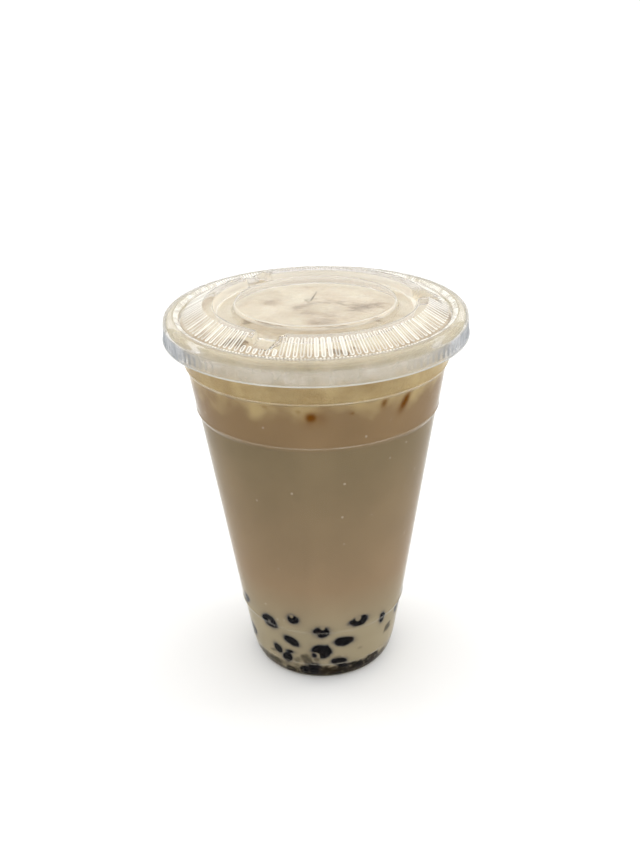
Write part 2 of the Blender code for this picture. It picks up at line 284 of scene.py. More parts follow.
def eased(corners, step, fine=7):
    """The line through (radius, height, ease) corners, as an array of points at most a step apart.

    Each corner is cut off by its ease along both sides, and a parabola joins the cuts.
    """
    places = np.array([corner[:2] for corner in corners])
    parts = [places[:1]]
    t = np.linspace(0.0, 1.0, fine)[:, None]
    for k in range(1, len(places) - 1):
        before, here, after = places[k - 1 : k + 2]
        back, on = before - here, after - here
        ease = min(corners[k][2], 0.48 * np.hypot(*back), 0.48 * np.hypot(*on))
        if ease <= 0.0:
            parts.append(here[None])
            continue
        start = here + back / np.hypot(*back) * ease
        end = here + on / np.hypot(*on) * ease
        parts.append((1 - t) ** 2 * start + 2 * t * (1 - t) * here + t**2 * end)
    parts.append(places[-1:])
    return split(np.concatenate(parts), step)


def split(line, step):
    """The same line with more points, so that no two neighbours are further apart than a step."""
    lengths = np.hypot(*np.diff(line, axis=0).T)
    line = line[np.concatenate([[True], lengths > 1e-7])]
    lengths = lengths[lengths > 1e-7]
    along = np.concatenate([[0.0], np.cumsum(lengths)])
    pieces = np.maximum(1, np.ceil(lengths / step - 1e-6)).astype(int)
    starts = np.repeat(along[:-1], pieces)
    order = np.arange(pieces.sum()) - np.repeat(np.cumsum(pieces) - pieces, pieces)
    where = starts + order * np.repeat(lengths / pieces, pieces)
    where = np.append(where, along[-1])
    return np.stack([np.interp(where, along, line[:, k]) for k in range(2)], axis=-1)


def outward(line):
    """Unit normals of a line that runs down its outer side, to the line's outside."""
    run = np.gradient(line, axis=0)
    run /= np.hypot(run[:, 0], run[:, 1])[:, None]
    return np.stack([-run[:, 1], run[:, 0]], axis=-1)


def circle(count, turn=0.0):
    return turn + np.arange(count) * TAU / count


def ring(radius, height, angles):
    """Points at the given radii and heights in the given directions round Z."""
    radius = np.broadcast_to(radius, angles.shape)
    height = np.broadcast_to(height, angles.shape)
    return np.stack([radius * np.cos(angles), radius * np.sin(angles), height], axis=-1)


def between(a, b, start_a, start_b):
    """Faces between two rings of a and b points: equal counts, one a pole, or one a multiple."""
    if a == b:
        j = np.arange(a)
        k = (j + 1) % a
        return [np.stack([start_a + j, start_b + j, start_b + k, start_a + k], axis=-1)]
    if a == 1 or b == 1:
        j = np.arange(max(a, b))
        k = (j + 1) % max(a, b)
        if a == 1:
            return [np.stack([start_a + 0 * j, start_b + j, start_b + k], axis=-1)]
        return [np.stack([start_a + j, start_b + 0 * j, start_a + k], axis=-1)]
    fine, coarse = max(a, b), min(a, b)
    times = fine // coarse
    j = np.arange(fine)
    k = (j + 1) % fine
    low = np.arange(coarse)
    high = (low + 1) % coarse
    middle = low * times + (times + 1) // 2
    if a > b:
        fan = np.stack([start_a + j, start_b + near_of(j, times, coarse), start_a + k], axis=-1)
        gap = np.stack([start_a + middle, start_b + low, start_b + high], axis=-1)
    else:
        fan = np.stack([start_a + near_of(j, times, coarse), start_b + j, start_b + k], axis=-1)
        gap = np.stack([start_a + low, start_b + middle, start_a + high], axis=-1)
    return [fan, gap]


def near_of(j, times, coarse):
    """For each fine step, the coarse point that its triangle runs to."""
    return np.where(j % times < (times + 1) // 2, j // times, (j // times + 1) % coarse)


def faces_of(rings):
    """Faces between all neighbouring rings."""
    starts = np.cumsum([0] + [len(each) for each in rings])
    pairs = zip(rings, rings[1:], starts, starts[1:])
    return [part for a, b, i, j in pairs for part in between(len(a), len(b), i, j)]


def grid_faces(rows, columns):
    """Faces of a grid of points that are kept row by row."""
    i, j = np.meshgrid(np.arange(rows - 1), np.arange(columns - 1), indexing="ij")
    k = (i * columns + j).ravel()
    return np.stack([k, k + columns, k + columns + 1, k + 1], axis=-1)


def turned(line, angles):
    """Rings through the (radius, height) points of a line. One on the axis is a pole."""
    return [ring(r, z, angles if r > 1e-6 else angles[:1]) for r, z in line]


def unrolled(angles, heights, radius):
    """Points of the wall laid flat, for noise to be read at. The radius is in mm."""
    return np.stack([angles * radius * MM, heights, 0.0 * heights], axis=-1)


def mesh_of(name, points, faces):
    """A smooth mesh object at the origin from points and a list of face arrays."""
    mesh = bpy.data.meshes.new(name)
    counts = np.concatenate([np.full(len(part), part.shape[1]) for part in faces])
    corners = np.concatenate([part.ravel() for part in faces]).astype(np.int32)
    mesh.vertices.add(len(points))
    mesh.vertices.foreach_set("co", np.asarray(points, np.float32).ravel())
    mesh.loops.add(len(corners))
    mesh.loops.foreach_set("vertex_index", corners)
    mesh.polygons.add(len(counts))
    starts = np.cumsum(counts) - counts
    mesh.polygons.foreach_set("loop_start", starts.astype(np.int32))
    mesh.polygons.foreach_set("use_smooth", np.ones(len(counts), bool))
    mesh.update(calc_edges=True)
    mesh.validate()
    made = bpy.data.objects.new(name, mesh)
    bpy.context.scene.collection.objects.link(made)
    return made


def skin(name, rings):
    """A closed surface through rings of points, from one pole or rim to the other."""
    return mesh_of(name, np.concatenate(rings), faces_of(rings))


def keep_values(thing, name, values):
    """Stores one number a vertex, for the material to read."""
    layer = thing.data.attributes.new(name, "FLOAT", "POINT")
    layer.data.foreach_set("value", np.asarray(values, np.float32).ravel())


def smooth_step(low, high, value):
    t = np.clip((value - low) / (high - low), 0.0, 1.0)
    return t * t * (3.0 - 2.0 * t)


def turned_from(angle, centre):
    """The signed angle from a centre direction, between minus and plus half a turn."""
    return (angle - centre + math.pi) % TAU - math.pi


def lumps(points, size, seed, octaves=3):
    """Soft noise between about -1 and 1: sums of slanted sine waves whose lengths halve."""
    draw = np.random.default_rng(seed)
    total = np.zeros(len(points))
    for octave in range(octaves):
        waves = draw.normal(size=(7, 3))
        waves *= TAU / size * 2**octave / np.linalg.norm(waves, axis=1)[:, None]
        phases = draw.uniform(0.0, TAU, 7)
        total += np.sin(points @ waves.T + phases).sum(axis=1) / 3.5 / 2**octave
    return total / 1.5


def step_corners(radius, height, out, rise):
    """A step where the wall widens upwards, with a fine rounded lip on its upper edge."""
    return [
        (radius + out - LIP_BACK, height + rise + LIP_TALL, LIP_EASE),
        (radius + out + LIP_OUT, height + rise, LIP_EASE),
        (radius, height, STEP_EASE),
    ]


def wall_corners():
    """The cup's outer wall from neck to heel, as (radius, height, ease)."""
    return [
        (NECK_R, NECK_Z, 1.5 * MM),
        (BAND_R + BAND_STEP + 0.3 * MM, BAND_Z + 5.0 * MM, 2.0 * MM),
        *step_corners(BAND_R, BAND_Z, BAND_STEP, BAND_RISE),
        *step_corners(SHOULDER_R, SHOULDER_Z, SHOULDER_STEP, SHOULDER_RISE),
        *step_corners(LOW_RING_R, LOW_RING_Z, LOW_RING_STEP, LOW_RING_RISE),
        (HEEL_R + 0.2 * MM, HEEL_Z + 0.5 * MM, 0.3 * MM),
        (HEEL_R, HEEL_Z - 0.2 * MM, 0.4 * MM),
        (FOOT_R + 1.6 * MM, 3.0 * MM, 1.2 * MM),
        (FOOT_R + 0.7 * MM, 1.0 * MM, 0.8 * MM),
        (FOOT_R - 0.2 * MM, 0.0, 0.0),
    ]


WALL_LINE = eased(wall_corners(), 0.5 * MM)


def wall_radius(height):
    """Radius of the cup's outer wall at a height."""
    return np.interp(height, WALL_LINE[::-1, 1], WALL_LINE[::-1, 0])


def inner_radius(height):
    return wall_radius(height) - WALL


SMOOTH = {"interpolation_type": "SMOOTHSTEP"}
COLOURS = {"data_type": "RGBA"}


def node(tree, kind, settings=None, *sources, **named):
    """Adds a shader node with its settings and inputs.

    Settings are properties or socket values. A word alone is the node's operation, and "stops" are the
    (place, colour) pairs of a colour ramp. Inputs are numbers, colours, sockets, or nodes, which stand
    for their first output. They fill the sockets in order, or by name, and i6 is socket number 6.
    """
    made = tree.nodes.new("ShaderNode" + kind)
    settings = {"operation": settings} if isinstance(settings, str) else dict(settings or {})
    for k, (place, colour) in enumerate(settings.pop("stops", ())):
        elements = made.color_ramp.elements
        element = elements[k] if k < len(elements) else elements.new(place)
        element.position, element.color = place, colour
    for key, value in settings.items():
        if hasattr(made, key) and key not in made.inputs:
            setattr(made, key, value)
        else:
            made.inputs[key].default_value = value
    for key, source in [*enumerate(sources), *named.items()]:
        if isinstance(key, str):
            key = int(key[1:]) if key[1:].isdigit() else key.replace("_", " ")
        if isinstance(source, bpy.types.Node):
            source = source.outputs[0]
        if isinstance(source, bpy.types.NodeSocket):
            tree.links.new(source, made.inputs[key])
        else:
            made.inputs[key].default_value = source
    return made


def per(size):
    """The scale of a pattern whose parts are about the size in mm."""
    return 1.0 / (size * MM)


def band(add, value, low, high, soft, most=1.0):
    """Gives most between low and high, and falls to 0 over soft inside both ends."""
    up = add("MapRange", SMOOTH, value, low, low + soft)
    return add("Math", "MULTIPLY", up, add("MapRange", SMOOTH, value, high - soft, high, most, 0.0))


def uneven(add, place, amount, size, least, most):
    """The amount, made patchy by noise between the least and most share of it."""
    mottle = add("TexNoise", {"Scale": per(size), "Detail": 4.0, "Roughness": 0.6}, place)
    return add("Math", "MULTIPLY", amount, add("MapRange", SMOOTH, mottle, 0.3, 0.7, least, most))


def new_material(name):
    """A material, the node function for its emptied tree, and its surface points' places in metres."""
    made = bpy.data.materials.new(name)
    made.use_nodes = True
    made.node_tree.nodes.clear()
    add = partial(node, made.node_tree)
    return made, add, add("TexCoord").outputs["Object"]


def rib_shapes(add, turn, radius, count):
    """The outline and the flat top of each radial rib, for painted highlights, and a chance from 0 to 1 for
    each.

    With s mm round from a rib's middle line, e mm in from its nearer end (kept with the mesh) and w its
    half width, a point lies hypot(s, max(w - e, 0)) - w outside the rib.
    """
    place = add("Math", "MULTIPLY", turn, count / TAU)
    number = add("Math", "ROUND", place)
    off = add("Math", "MULTIPLY", add("Math", "SUBTRACT", place, number), TAU / count / MM)
    side = add("Math", "MULTIPLY", off, radius)
    end = add("Attribute", {"attribute_name": "rib_end"}).outputs["Fac"]
    beyond = add("Math", "MAXIMUM", add("Math", "SUBTRACT", RIB_HALF, end), 0.0)
    squares = add("Math", "MULTIPLY_ADD", side, side, add("Math", "MULTIPLY", beyond, beyond))
    away = add("Math", "SUBTRACT", add("Math", "SQRT", squares), RIB_HALF)
    outline = add("MapRange", SMOOTH, add("Math", "ABSOLUTE", away), 0.1, 0.32, 1.0, 0.0)
    flat = add("MapRange", SMOOTH, away, -0.34, -0.12, 1.0, 0.0)
    return outline, flat, add("TexWhiteNoise", {"noise_dimensions": "1D"}, W=number).outputs["Value"]


def pet_sheet(add, place, tint, roughness):
    """Thermoformed PET sheet: glass clear and glossy, a little wavy where it was drawn over the mould.

    The eye sees straight through it from in front, and gets bright edges where it is seen at a slant.
    PET has an IOR of 1.575. A lower one is used, matched to the picture, because the real one veils
    the pearls with reflections and draws dark outlines at the lid's bends.
    """
    waves = add("TexNoise", {"Scale": per(14.3), "Detail": 0.0}, place)
    bump = add("Bump", {"Strength": 0.05, "Distance": 0.3 * MM}, Height=waves)
    settings = {"Base Color": tint, "IOR": SHEET_IOR, "Transmission Weight": 1.0, "Roughness": roughness}
    return add("BsdfPrincipled", settings, Normal=bump)


def cover(add, body, colour, amount):
    """The body with a share of it hidden by a satin film of the colour."""
    film = add("BsdfPrincipled", {"Roughness": 0.4}, colour)
    return add("MixShader", None, amount, body, film)


def finish_plastic(add, body, tint):
    """Lamps shine straight through the sheet."""
    light = add("LightPath").outputs["Is Shadow Ray"]
    passing = add("BsdfTransparent", {"Color": tint})
    add("OutputMaterial", None, add("MixShader", None, light, body, passing))


def clear_cup_finish(cup):
    """The cup's sheet, which turns creamy where it is rolled into the rim, with painted highlights along its
    bends.
    """
    made, add, place = new_material("clear_pet_cup")
    height = add("SeparateXYZ", None, place).outputs["Z"]
    body = pet_sheet(add, place, tuple(cup.plastic), 0.02)
    slant = add("LayerWeight", {"Blend": 0.5}).outputs["Facing"]
    rim = band(add, height, RIM_Z - 2.2 * MM, RIM_Z + 2.0 * RIM_ROLL, 1.0 * MM)
    rim = add("Math", "MULTIPLY", rim, add("MapRange", SMOOTH, slant, 0.2, 0.9, 0.1, 0.34))
    body = cover(add, body, tuple(cup.rim_tint), uneven(add, place, rim, 16.67, 0.8, 1.2))
    # Painted highlights along the wall's bends
    for level, most in WALL_LINES:
        line = band(add, height, level - 0.45 * MM, level + 0.45 * MM, 0.4 * MM, most)
        body = cover(add, body, tuple(cup.wall_line_highlight), uneven(add, place, line, 8.33, 0.4, 1.3))
    finish_plastic(add, body, tuple(cup.plastic))
    return made


def clear_lid_finish(cup):
    """The lid's sheet: a little hazy, with painted highlights on its ribs, teeth, steep walls and disc edge,
    and painted shade in the valley and just outside the disc.

    The crimped skirt is milky from in front, grey with painted shade where it is seen edge on, and pale on
    its lower edge.
    """
    made, add, place = new_material("clear_pet_lid")
    apart = add("SeparateXYZ", None, place)
    x, y, height = apart.outputs["X"], apart.outputs["Y"], apart.outputs["Z"]
    turn = add("Math", "ARCTAN2", y, x)
    squares = add("Math", "MULTIPLY_ADD", x, x, add("Math", "MULTIPLY", y, y))
    radius = add("Math", "SQRT", squares)
    body = pet_sheet(add, place, tuple(cup.plastic), 0.03)
    outline, flat, chance = rib_shapes(add, turn, radius, cup.rib_count)
    # Painted highlights: a pale line round the edge of each rib and a pale sheen on the tops of some
    edges = add("Math", "MULTIPLY", outline, add("MapRange", SMOOTH, chance, 0.0, 1.0, 0.5, 0.8))
    shine = add("Math", "MULTIPLY", flat, add("MapRange", SMOOTH, chance, 0.45, 1.0, 0.06, 0.55))
    # Painted glints on the teeth inside the bead
    waves = add("Math", "COSINE", add("Math", "MULTIPLY", turn, cup.rib_count * 2.0))
    teeth = add("MapRange", SMOOTH, waves, -0.5, 0.4)
    tooth_row = band(add, radius, VALLEY_R + 0.2 * MM, VALLEY_R + 1.9 * MM, 0.3 * MM)
    teeth_glints = uneven(add, place, add("Math", "MULTIPLY", teeth, tooth_row), 3.33, 0.15, 1.6)
    disc = band(add, radius, -DISC_R, DISC_R + 0.3 * MM, 1.0 * MM, 0.1)
    film = band(add, radius, DISC_R, SIDE_R, 0.5 * MM, 0.05)
    bead = band(add, radius, VALLEY_R + 0.8 * MM, SIDE_R + 1.0 * MM, 0.6 * MM, 0.26)
    above = add("MapRange", SMOOTH, height, SIDE_Z - 0.8 * MM, SIDE_Z + 0.6 * MM)
    bead = add("Math", "MULTIPLY", bead, above)
    bend = add("Attribute", {"attribute_name": "bend"}).outputs["Fac"]
    slant = add("LayerWeight", {"Blend": 0.5}).outputs["Facing"]
    skirt = band(add, height, 0.0, SIDE_Z + 0.6 * MM, 1.2 * MM)
    skirt = add("Math", "MULTIPLY", skirt, add("MapRange", SMOOTH, slant, 0.15, 0.8, 0.3, 0.8))
    # Milky haze from in front turns to a painted grey shade where the skirt is seen edge on
    stops = ((0.0, tuple(cup.skirt_tint)), (0.7, tuple(cup.skirt_edge_shade)))
    milky = add("ValToRGB", {"stops": stops}, add("MapRange", SMOOTH, slant, 0.15, 0.8))
    # The pale colour paints highlights, the dull one paints shade
    haze, highlight_white, dull = tuple(cup.haze), linear("#FAF8F0"), linear("#8B826F")
    films = (
        (haze, uneven(add, place, disc, 16.67, 0.4, 1.6)),
        (haze, uneven(add, place, film, 16.67, 0.5, 1.5)),
        (milky, uneven(add, place, skirt, 9.09, 0.7, 1.25)),
        (tuple(cup.bead_tint), uneven(add, place, bead, 16.67, 0.6, 1.35)),
        # Painted highlight on the lid's steep walls
        (linear("#F0E6D0"), add("Math", "MULTIPLY", bend, 0.55)),
        # Painted shade: a dull line in the valley inside the bead and one just outside the disc's edge
        (dull, band(add, radius, VALLEY_R - 0.45 * MM, VALLEY_R + 0.15 * MM, 0.2 * MM, 0.2)),
        (dull, band(add, radius, DISC_R + 0.05 * MM, DISC_R + 0.7 * MM, 0.25 * MM, 0.2)),
        # Painted highlights: the disc's edge, the groove's outer and the ridge's inner edge, the ribs and
        # the teeth
        (highlight_white, band(add, radius, DISC_R - 0.45 * MM, DISC_R + 0.05 * MM, 0.2 * MM, 0.35)),
        (highlight_white, band(add, radius, GROOVE_OUT_R - 0.3 * MM, RIDGE_IN_R + 0.2 * MM, 0.4 * MM, 0.22)),
        (highlight_white, edges),
        (highlight_white, shine),
        (highlight_white, teeth_glints),
        (linear("#E4E2DA"), band(add, height, 0.0, SKIRT_Z + 0.4 * MM, 0.15 * MM, 0.5)),
    )
    for colour, amount in films:
        body = cover(add, body, colour, amount)
    finish_plastic(add, body, tuple(cup.plastic))
    return made


def cut_edge():
    """A knife cut in PET: its broken edges scatter light, so it reads as a fine dull line."""
    made, add, place = new_material("pet_cut_edge")
    broken = add("TexNoise", {"Scale": per(1.11), "Detail": 2.0}, place)
    colour = add("ValToRGB", {"stops": ((0.3, linear("#857C6A")), (0.7, linear("#5C5446")))}, broken)
    shader = add("BsdfPrincipled", {"Roughness": 0.3, "IOR": 1.575}, colour)
    add("OutputMaterial", None, shader)
    return made


def brewed_milk_tea(drink):
    """Milk tea against the wall: an opaque, fine emulsion with a wet sheen and tiny bubbles.

    Its colour changes with height, thins to grey over a pearl and browns at a drop of syrup.
    """
    made, add, place = new_material("milk_tea_emulsion")
    height = add("SeparateXYZ", None, place).outputs["Z"]
    stops = (
        (0.0, tuple(drink.tea_low)),
        (LOW_RING_Z / FROTH_Z, tuple(drink.tea_low)),
        (0.36, tuple(drink.tea_middle)),
        (0.8, tuple(drink.tea_body)),
        (SHOULDER_Z / FROTH_Z, tuple(drink.tea_body)),
        ((SHOULDER_Z + 2.0 * MM) / FROTH_Z, tuple(drink.tea_band)),
        (1.0, tuple(drink.tea_band)),
    )
    milk = add("ValToRGB", {"stops": stops}, add("MapRange", None, height, 0.0, FROTH_Z))
    cloud = add("TexNoise", {"Scale": per(22.2), "Detail": 4.0, "Roughness": 0.55}, place)
    shade = add("MapRange", None, cloud, 0.3, 0.7, 0.93, 1.07)
    grey = add("CombineColor", None, shade, shade, shade)
    base = add("Mix", {**COLOURS, "blend_type": "MULTIPLY"}, 1.0, i6=milk, i7=grey).outputs[2]
    bubbles = add("TexVoronoi", {"Scale": per(6.67)}, place).outputs["Distance"]
    specks = add("MapRange", SMOOTH, bubbles, 0.05, 0.085, 0.3, 0.0)
    grain = add("TexNoise", {"Scale": per(7.69), "Detail": 3.0}, place)
    sunk = add("ValToRGB", {"stops": ((0.38, tuple(drink.sunk)), (0.66, linear("#281E11")))}, grain)
    layers = [(specks, linear("#E6DCC8"))]
    kept = {
        "cream": (tuple(drink.froth_wall), 1.0),
        "syrup": (tuple(drink.syrup), 1.0),
        # The sunk layer also carries the painted shade near the floor
        "sunk": (sunk, 1.0),
        "veil": (tuple(drink.veil), 0.8),
    }
    for name, (colour, full) in kept.items():
        amount = add("Attribute", {"attribute_name": name}).outputs["Fac"]
        layers.append((add("MapRange", None, amount, 0.0, full), colour))
    for amount, colour in layers:
        base = add("Mix", COLOURS, amount, i6=base, i7=colour).outputs[2]
    shader = add("BsdfPrincipled", {"Roughness": 0.45, "IOR": 1.35, "Specular IOR Level": 0.0}, base)
    add("OutputMaterial", None, shader)
    return made


def whipped_froth(drink):
    """Milk froth: a pale foam of bubbles from fine to two millimetres, wetter and browner at the wall."""
    made, add, place = new_material("milk_froth_foam")
    masks = ("wet", "side", "wall")
    kept = [add("Attribute", {"attribute_name": name}).outputs["Fac"] for name in masks]
    patches = add("TexNoise", {"Scale": per(10.53), "Detail": 5.0, "Roughness": 0.65}, place)
    tone = add("MapRange", None, add("Math", "ADD", patches, kept[0]), 0.38, 1.1)
    stops = ((0.0, tuple(drink.froth_light)), (0.5, linear("#B0A186")), (1.0, tuple(drink.froth_dark)))
    top = add("ValToRGB", {"stops": stops}, tone)
    spots = add("TexNoise", {"Scale": per(5.26), "Detail": 4.0}, place)
    stops = ((0.35, linear("#E2DAC8")), (0.6, linear("#CFC4A9")), (0.72, linear("#A29673")))
    side = add("ValToRGB", {"stops": stops}, spots)
    stops = ((0.3, tuple(drink.froth_wall)), (0.7, linear("#A0885A")))
    wall = add("ValToRGB", {"stops": stops}, patches)
    colour = add("Mix", COLOURS, kept[1], i6=top, i7=side).outputs[2]
    colour = add("Mix", COLOURS, kept[2], i6=colour, i7=wall).outputs[2]
    fine = add("TexVoronoi", {"Scale": per(0.714)}, place)
    large = add("TexVoronoi", {"Scale": per(2.083)}, place)
    height = add("Math", "ADD", fine, large)
    bump = add("Bump", {"Strength": 0.35, "Distance": 0.3 * MM}, Height=height)
    depth = {"Subsurface Weight": 0.3, "Subsurface Radius": (1.0, 0.8, 0.55), "Subsurface Scale": 2.0 * MM}
    shader = add("BsdfPrincipled", {"Roughness": 0.5, "IOR": 1.35, **depth}, colour, Normal=bump)
    add("OutputMaterial", None, shader)
    return made


def cooked_tapioca(drink):
    """Tapioca boiled in brown sugar: near black gel, smooth and wet, brown where light gets in."""
    made, add, place = new_material("cooked_tapioca")
    spots = add("TexNoise", {"Scale": per(3.85), "Detail": 3.0}, place)
    stops = ((0.35, tuple(drink.pearl)), (0.62, tuple(drink.pearl)), (0.8, linear("#2A1A12")))
    colour = add("ValToRGB", {"stops": stops}, spots)
    shader = add("BsdfPrincipled", {"Roughness": 0.25, "IOR": 1.42, "Specular IOR Level": 0.05}, colour)
    add("OutputMaterial", None, shader)
    return made


def matte_floor(colour):
    """Painted board: plain, pale and matt, with a grain too soft to draw the eye."""
    made, add, place = new_material("painted_board")
    grain = add("TexNoise", {"Scale": per(3.33), "Detail": 2.0}, place)
    bump = add("Bump", {"Strength": 0.05, "Distance": 0.1 * MM}, Height=grain)
    shader = add("BsdfPrincipled", {"Roughness": 0.7, "Specular IOR Level": 0.2}, colour, Normal=bump)
    add("OutputMaterial", None, shader)
    return made


def dress(piece, material, slot, *nodes):
    """Gives the piece its material and its body, and hides the CAD nodes that it stands for. The slot is not
    used.
    """
    piece.data.materials.append(material)
    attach(piece, BODY)
    if nodes:
        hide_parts(*nodes)
    return piece


def cup_line():
    """The cup's section: up the inside from the floor's middle, over the rim and down the outside."""
    outer = wall_corners()
    inner = [(r - WALL, z + (WALL if z < 2.0 * MM else 0.0), ease) for r, z, ease in reversed(outer)]
    floor = [
        (0.0, FLOOR_Z, 0.0),
        (RECESS_R - WALL, FLOOR_Z, 0.5 * MM),
        (FOOT_INNER_R - WALL, WALL, 0.4 * MM),
    ]
    turn = np.radians(np.linspace(195.0, -115.0, 19))
    rim = [(RIM_R + RIM_ROLL * math.cos(a), RIM_Z + RIM_ROLL * math.sin(a), 0.0) for a in turn]
    under = [(FOOT_INNER_R, 0.0, 0.4 * MM), (RECESS_R, RECESS_Z, 0.5 * MM), (0.0, RECESS_Z, 0.0)]
    return eased(floor + inner + rim + outer + under, 2.0 * MM)


def make_cup(cup):
    """The cup's section turned once round Z."""
    piece = skin("clear_cup", turned(cup_line(), circle(CUP_STEPS)))
    return dress(piece, clear_cup_finish(cup), "clear_plastic", "cup")


def lid_line():
    """The lid's upper face from its middle to the skirt's edge."""
    corners = [
        (0.0, LID_TOP, 0.0),
        (DISC_R - 0.2 * MM, LID_TOP, 0.7 * MM),
        (GROOVE_IN_R, GROOVE_Z, 0.8 * MM),
        (GROOVE_OUT_R, GROOVE_Z, 0.8 * MM),
        (RIDGE_IN_R, LID_TOP - 0.1 * MM, 0.8 * MM),
        (RIDGE_OUT_R, LID_TOP, 0.7 * MM),
        (SLOPE_R, SLOPE_Z, 0.5 * MM),
        (VALLEY_R, VALLEY_Z, 0.4 * MM),
        (VALLEY_R + 1.1 * MM, VALLEY_Z + 0.9 * MM, 0.5 * MM),
        (BEAD_R, BEAD_Z, 1.0 * MM),
        (SIDE_R - 0.5 * MM, BEAD_Z - 0.6 * MM, 1.0 * MM),
        (SIDE_R, SIDE_Z, 1.0 * MM),
        (SIDE_R + 0.05 * MM, SKIRT_Z + 1.0 * MM, 0.5 * MM),
        (SKIRT_R, SKIRT_Z, 0.0),
    ]
    line = eased(corners, 0.8 * MM, 5)
    flat = line[:, 0] < DISC_R - 1.2 * MM
    return line[~flat | (np.arange(len(line)) % 4 == 0)]


def notch_away(angles):
    """The angle from each direction to the nearest notch's middle."""
    pitch = TAU / NOTCHES
    return np.abs((angles - NOTCH_ANGLE + 0.5 * pitch) % pitch - 0.5 * pitch)


def notch_sink(radius, angles, grow=0.0):
    """1 inside the notches round a ring and 0 outside. They are larger by grow, narrow outwards and end."""
    half = NOTCH_HALF - NOTCH_TAPER * (radius - RIDGE_OUT_R) + grow
    sink = smooth_step(-0.5 * MM, 0.5 * MM, half - notch_away(angles) * radius)
    return sink * smooth_step(-0.5 * MM, 0.3 * MM, NOTCH_R + grow - radius) * (radius > GROOVE_OUT_R - grow)


def lid_relief(radius, height, angles, cup):
    """Heights round a ring of the lid, where notches sink and ribs stand up, and its rib ends.

    A notch lowers the ridge and slope to its floor inside a stretch that narrows outwards. A rib is a
    cosine in the angle, faded at both ends of the slope, and so are the teeth inside the bead.
    """
    height = height - notch_sink(radius, angles) * max(height - NOTCH_FLOOR, 0.0)
    rib_end = rib_ends(radius, angles, cup)
    ribs = smooth_step(0.0, 0.5, rib_end) * smooth_step(-0.4, 0.5, np.cos(angles * cup.rib_count))
    wave = 0.5 + 0.5 * np.cos(angles * cup.rib_count * 2)
    teeth = smooth_step(VALLEY_R + 0.2 * MM, VALLEY_R + 0.7 * MM, radius)
    teeth *= 1.0 - smooth_step(VALLEY_R + 1.0 * MM, VALLEY_R + 1.6 * MM, radius)
    return height + cup.rib_height * ribs + TEETH * teeth * wave, rib_end


def rib_ends(radius, angles, cup):
    """How far in from the nearer end of its rib each point of a ring is, in mm, less than 0 beyond it.

    A rib whose middle line would run into a notch starts beyond the notch.
    """
    middle = np.round(angles * cup.rib_count / TAU) * TAU / cup.rib_count
    at_notch = notch_away(middle) * RIDGE_OUT_R < NOTCH_CLEAR
    start = np.where(at_notch, NOTCH_R + 0.1 * MM, RIDGE_OUT_R + 0.2 * MM)
    return np.minimum(radius - start, SLOPE_R - 0.1 * MM - radius) / MM


def lid_crimp(radius, height, angles, cup):
    """Radius round a ring of the skirt, pushed in between small upright ribs on its lower half."""
    window = smooth_step(SKIRT_Z + 0.5 * MM, SKIRT_Z + 1.2 * MM, height)
    window *= 1.0 - smooth_step(SKIRT_Z + 3.2 * MM, SKIRT_Z + 4.2 * MM, height)
    wave = 0.5 + 0.5 * np.cos(angles * cup.crimp_count)
    return radius - CRIMP_DEEP * window * smooth_step(0.55, 0.95, wave)


def steepness(piece):
    """1 where the middle of a lid stands up at a steep slant, and 0 where it lies flat or slopes gently."""
    normals, places = np.zeros((2, len(piece.data.vertices), 3), np.float32)
    piece.data.vertex_normals.foreach_get("vector", normals.ravel())
    piece.data.vertices.foreach_get("co", places.ravel())
    radius = np.hypot(places[:, 0], places[:, 1])
    inside = 1.0 - smooth_step(SLOPE_R - 1.5 * MM, SLOPE_R - 0.5 * MM, radius)
    inside *= 0.3 + 0.7 * smooth_step(GROOVE_OUT_R, RIDGE_IN_R, radius)
    return inside * smooth_step(0.3, 0.62, 1.0 - np.abs(normals[:, 2]))


def make_lid(cup):
    """A thin shell: the upper face with its relief, and under it the same line moved in by the wall.

    A ring has 8 points a rib on the ribbed slope, 4 elsewhere outside the groove, and 2 within and below.
    """
    line = lid_line()
    rings, ribs = [], []
    for r, z in line:
        finer = 2 if r < GROOVE_OUT_R - 0.5 * MM else 4
        if RIDGE_OUT_R - 0.3 * MM < r < SLOPE_R + 0.2 * MM:
            finer = 8
        angles = circle(cup.rib_count * finer if r > 1e-6 else 1)
        reach = np.full(len(angles), NO_RIB)
        if z < SIDE_Z and r > VALLEY_R:
            r = lid_crimp(r, z, angles, cup)
        elif r > 1e-6:
            z, reach = lid_relief(r, z, angles, cup)
        rings.append(ring(r, z, angles))
        ribs.append(reach)
    angles = circle(cup.rib_count * 2)
    for r, z in (line - outward(line) * LID_WALL)[::-1]:
        if r < 0.2 * MM:
            rings.append(ring(0.0, z, circle(1)))
            break
        drop = max(z - NOTCH_FLOOR + LID_WALL, 0.0)
        rings.append(ring(r, z - notch_sink(r, angles, 0.3 * MM) * drop, angles))
    piece = skin("clear_lid", rings)
    shown = np.concatenate(ribs)
    below = len(piece.data.vertices) - len(shown)
    keep_values(piece, "rib_end", np.append(shown, np.full(below, NO_RIB)))
    # Where the lid's finish paints a highlight on its steep walls
    keep_values(piece, "bend", np.append(steepness(piece)[: len(shown)], np.zeros(below)))
    return dress(piece, clear_lid_finish(cup), "clear_plastic", "lid")


